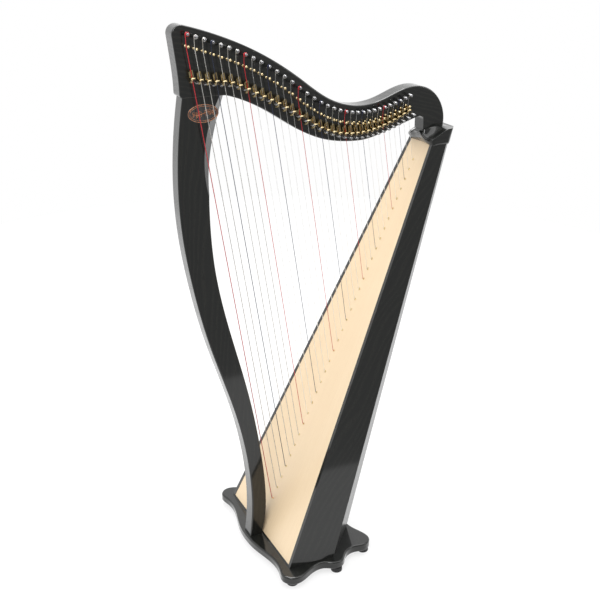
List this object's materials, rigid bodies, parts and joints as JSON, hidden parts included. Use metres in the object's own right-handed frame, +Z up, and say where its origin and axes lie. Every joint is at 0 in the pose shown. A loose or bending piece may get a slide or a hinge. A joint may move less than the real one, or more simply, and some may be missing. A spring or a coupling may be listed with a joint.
{
  "type": "lever harp",
  "caption": "Floor-standing lever harp with a black lacquered frame, a tapered soundbox, a pale soundboard and a semitone lever on every string.",
  "frame": {"origin": "on the floor, under the centre of the overall box", "axes": "+Z up; -X towards the pillar, +X towards the player and the soundbox; -Y the side of the neck that carries the strings and levers"},
  "size_m": [0.6942, 0.456, 1.3162],
  "materials": {
    "black_lacquered_ash": "satin lacquer over open grain",
    "birch_soundboard": "clear satin",
    "inner_maple": "unfinished",
    "copper_badge": "polished",
    "rubber_feet": "matte",
    "zinc_steel": "plated",
    "nickel_steel": "nickel plated",
    "brass": "polished",
    "wound_wire": "wound wire",
    "nylon": "clear",
    "black_handle_plastic": "gloss"
  },
  "bodies": {
    "frame": {"neck": "black_lacquered_ash", "pillar": "black_lacquered_ash", "shoulder_cap": "black_lacquered_ash", "side_panel_left": "black_lacquered_ash", "side_panel_right": "black_lacquered_ash", "bevel_panel_left": "black_lacquered_ash", "bevel_panel_right": "black_lacquered_ash", "back_panel": "black_lacquered_ash", "board_bindings": "black_lacquered_ash", "base_plate": "black_lacquered_ash", "soundboard": "birch_soundboard", "string_rib": "inner_maple", "end_blocks": "inner_maple", "box_framing": "inner_maple", "neck_dowels": "inner_maple", "badge": "copper_badge", "base_feet": "rubber_feet", "base_screws": "zinc_steel", "tuning_pins": "nickel_steel", "bridge_pins": "brass", "string_eyelets": "brass", "strings_wound": "wound_wire", "strings_plain": "nylon", "lever_brackets": "brass", "lever_pivot_pins": "brass", "lever_screws": "brass"},
    "lever_01": {"lever_01": "black_handle_plastic"},
    "lever_02": {"lever_02": "black_handle_plastic"},
    "lever_03": {"lever_03": "black_handle_plastic"},
    "lever_04": {"lever_04": "black_handle_plastic"},
    "lever_05": {"lever_05": "black_handle_plastic"},
    "lever_06": {"lever_06": "black_handle_plastic"},
    "lever_07": {"lever_07": "black_handle_plastic"},
    "lever_08": {"lever_08": "black_handle_plastic"},
    "lever_09": {"lever_09": "black_handle_plastic"},
    "lever_10": {"lever_10": "black_handle_plastic"},
    "lever_11": {"lever_11": "black_handle_plastic"},
    "lever_12": {"lever_12": "black_handle_plastic"},
    "lever_13": {"lever_13": "black_handle_plastic"},
    "lever_14": {"lever_14": "black_handle_plastic"},
    "lever_15": {"lever_15": "black_handle_plastic"},
    "lever_16": {"lever_16": "black_handle_plastic"},
    "lever_17": {"lever_17": "black_handle_plastic"},
    "lever_18": {"lever_18": "black_handle_plastic"},
    "lever_19": {"lever_19": "black_handle_plastic"},
    "lever_20": {"lever_20": "black_handle_plastic"},
    "lever_21": {"lever_21": "black_handle_plastic"},
    "lever_22": {"lever_22": "black_handle_plastic"},
    "lever_23": {"lever_23": "black_handle_plastic"},
    "lever_24": {"lever_24": "black_handle_plastic"},
    "lever_25": {"lever_25": "black_handle_plastic"},
    "lever_26": {"lever_26": "black_handle_plastic"},
    "lever_27": {"lever_27": "black_handle_plastic"},
    "lever_28": {"lever_28": "black_handle_plastic"},
    "lever_29": {"lever_29": "black_handle_plastic"},
    "lever_30": {"lever_30": "black_handle_plastic"},
    "lever_31": {"lever_31": "black_handle_plastic"},
    "lever_32": {"lever_32": "black_handle_plastic"},
    "lever_33": {"lever_33": "black_handle_plastic"},
    "lever_34": {"lever_34": "black_handle_plastic"}
  },
  "joints": [
    {"name": "lever_01_flip", "type": "hinge", "parent": "frame", "child": "lever_01", "pos_m": [-0.30618, -0.0379, 1.2055], "axis": [-0.9853, 0, -0.1707], "range_deg": [0, 55]},
    {"name": "lever_02_flip", "type": "hinge", "parent": "frame", "child": "lever_02", "pos_m": [-0.28797, -0.03784, 1.2017], "axis": [-0.9853, 0, -0.1707], "range_deg": [0, 55]},
    {"name": "lever_03_flip", "type": "hinge", "parent": "frame", "child": "lever_03", "pos_m": [-0.27004, -0.03785, 1.19867], "axis": [-0.9853, 0, -0.1708], "range_deg": [0, 55]},
    {"name": "lever_04_flip", "type": "hinge", "parent": "frame", "child": "lever_04", "pos_m": [-0.2524, -0.03791, 1.19674], "axis": [-0.9853, 0, -0.1708], "range_deg": [0, 55]},
    {"name": "lever_05_flip", "type": "hinge", "parent": "frame", "child": "lever_05", "pos_m": [-0.23492, -0.038, 1.19503], "axis": [-0.9853, 0, -0.1709], "range_deg": [0, 55]},
    {"name": "lever_06_flip", "type": "hinge", "parent": "frame", "child": "lever_06", "pos_m": [-0.21721, -0.03804, 1.19127], "axis": [-0.9853, 0, -0.171], "range_deg": [0, 55]},
    {"name": "lever_07_flip", "type": "hinge", "parent": "frame", "child": "lever_07", "pos_m": [-0.19903, -0.03797, 1.18411], "axis": [-0.9852, 0, -0.1711], "range_deg": [0, 55]},
    {"name": "lever_08_flip", "type": "hinge", "parent": "frame", "child": "lever_08", "pos_m": [-0.1806, -0.03784, 1.17473], "axis": [-0.9852, 0, -0.1713], "range_deg": [0, 55]},
    {"name": "lever_09_flip", "type": "hinge", "parent": "frame", "child": "lever_09", "pos_m": [-0.16229, -0.03771, 1.16521], "axis": [-0.9852, 0, -0.1716], "range_deg": [0, 55]},
    {"name": "lever_10_flip", "type": "hinge", "parent": "frame", "child": "lever_10", "pos_m": [-0.14423, -0.03763, 1.15628], "axis": [-0.9851, 0, -0.1719], "range_deg": [0, 55]},
    {"name": "lever_11_flip", "type": "hinge", "parent": "frame", "child": "lever_11", "pos_m": [-0.12635, -0.03759, 1.14747], "axis": [-0.985, 0, -0.1723], "range_deg": [0, 55]},
    {"name": "lever_12_flip", "type": "hinge", "parent": "frame", "child": "lever_12", "pos_m": [-0.10854, -0.03757, 1.13814], "axis": [-0.985, 0, -0.1728], "range_deg": [0, 55]},
    {"name": "lever_13_flip", "type": "hinge", "parent": "frame", "child": "lever_13", "pos_m": [-0.09073, -0.03754, 1.12791], "axis": [-0.9848, 0, -0.1735], "range_deg": [0, 55]},
    {"name": "lever_14_flip", "type": "hinge", "parent": "frame", "child": "lever_14", "pos_m": [-0.07293, -0.03752, 1.11668], "axis": [-0.9847, 0, -0.1744], "range_deg": [0, 55]},
    {"name": "lever_15_flip", "type": "hinge", "parent": "frame", "child": "lever_15", "pos_m": [-0.0552, -0.0375, 1.10503], "axis": [-0.9845, 0, -0.1755], "range_deg": [0, 55]},
    {"name": "lever_16_flip", "type": "hinge", "parent": "frame", "child": "lever_16", "pos_m": [-0.03771, -0.03747, 1.09378], "axis": [-0.9842, 0, -0.1768], "range_deg": [0, 55]},
    {"name": "lever_17_flip", "type": "hinge", "parent": "frame", "child": "lever_17", "pos_m": [-0.02058, -0.03745, 1.08367], "axis": [-0.984, 0, -0.1784], "range_deg": [0, 55]},
    {"name": "lever_18_flip", "type": "hinge", "parent": "frame", "child": "lever_18", "pos_m": [-0.00386, -0.03742, 1.07511], "axis": [-0.9836, 0, -0.1802], "range_deg": [0, 55]},
    {"name": "lever_19_flip", "type": "hinge", "parent": "frame", "child": "lever_19", "pos_m": [0.01242, -0.03739, 1.06816], "axis": [-0.9832, 0, -0.1824], "range_deg": [0, 55]},
    {"name": "lever_20_flip", "type": "hinge", "parent": "frame", "child": "lever_20", "pos_m": [0.02829, -0.03737, 1.06277], "axis": [-0.9827, 0, -0.185], "range_deg": [0, 55]},
    {"name": "lever_21_flip", "type": "hinge", "parent": "frame", "child": "lever_21", "pos_m": [0.04376, -0.03734, 1.05889], "axis": [-0.9822, 0, -0.188], "range_deg": [0, 55]},
    {"name": "lever_22_flip", "type": "hinge", "parent": "frame", "child": "lever_22", "pos_m": [0.05884, -0.03731, 1.05642], "axis": [-0.9815, 0, -0.1914], "range_deg": [0, 55]},
    {"name": "lever_23_flip", "type": "hinge", "parent": "frame", "child": "lever_23", "pos_m": [0.07359, -0.03728, 1.05518], "axis": [-0.9807, 0, -0.1954], "range_deg": [0, 55]},
    {"name": "lever_24_flip", "type": "hinge", "parent": "frame", "child": "lever_24", "pos_m": [0.08803, -0.03725, 1.05505], "axis": [-0.9798, 0, -0.1999], "range_deg": [0, 55]},
    {"name": "lever_25_flip", "type": "hinge", "parent": "frame", "child": "lever_25", "pos_m": [0.1022, -0.03721, 1.05592], "axis": [-0.9788, 0, -0.2049], "range_deg": [0, 55]},
    {"name": "lever_26_flip", "type": "hinge", "parent": "frame", "child": "lever_26", "pos_m": [0.11612, -0.03718, 1.05773], "axis": [-0.9776, 0, -0.2107], "range_deg": [0, 55]},
    {"name": "lever_27_flip", "type": "hinge", "parent": "frame", "child": "lever_27", "pos_m": [0.12982, -0.03714, 1.06038], "axis": [-0.9761, 0, -0.2171], "range_deg": [0, 55]},
    {"name": "lever_28_flip", "type": "hinge", "parent": "frame", "child": "lever_28", "pos_m": [0.14333, -0.0371, 1.06376], "axis": [-0.9745, 0, -0.2243], "range_deg": [0, 55]},
    {"name": "lever_29_flip", "type": "hinge", "parent": "frame", "child": "lever_29", "pos_m": [0.15671, -0.03705, 1.06777], "axis": [-0.9726, 0, -0.2323], "range_deg": [0, 55]},
    {"name": "lever_30_flip", "type": "hinge", "parent": "frame", "child": "lever_30", "pos_m": [0.16997, -0.037, 1.07235], "axis": [-0.9705, 0, -0.2412], "range_deg": [0, 55]},
    {"name": "lever_31_flip", "type": "hinge", "parent": "frame", "child": "lever_31", "pos_m": [0.18317, -0.03694, 1.07743], "axis": [-0.968, 0, -0.251], "range_deg": [0, 55]},
    {"name": "lever_32_flip", "type": "hinge", "parent": "frame", "child": "lever_32", "pos_m": [0.19633, -0.03687, 1.08298], "axis": [-0.9651, 0, -0.2618], "range_deg": [0, 55]},
    {"name": "lever_33_flip", "type": "hinge", "parent": "frame", "child": "lever_33", "pos_m": [0.20949, -0.0368, 1.08893], "axis": [-0.9618, 0, -0.2737], "range_deg": [0, 55]},
    {"name": "lever_34_flip", "type": "hinge", "parent": "frame", "child": "lever_34", "pos_m": [0.22269, -0.03671, 1.09524], "axis": [-0.958, 0, -0.2869], "range_deg": [0, 55]}
  ]
}
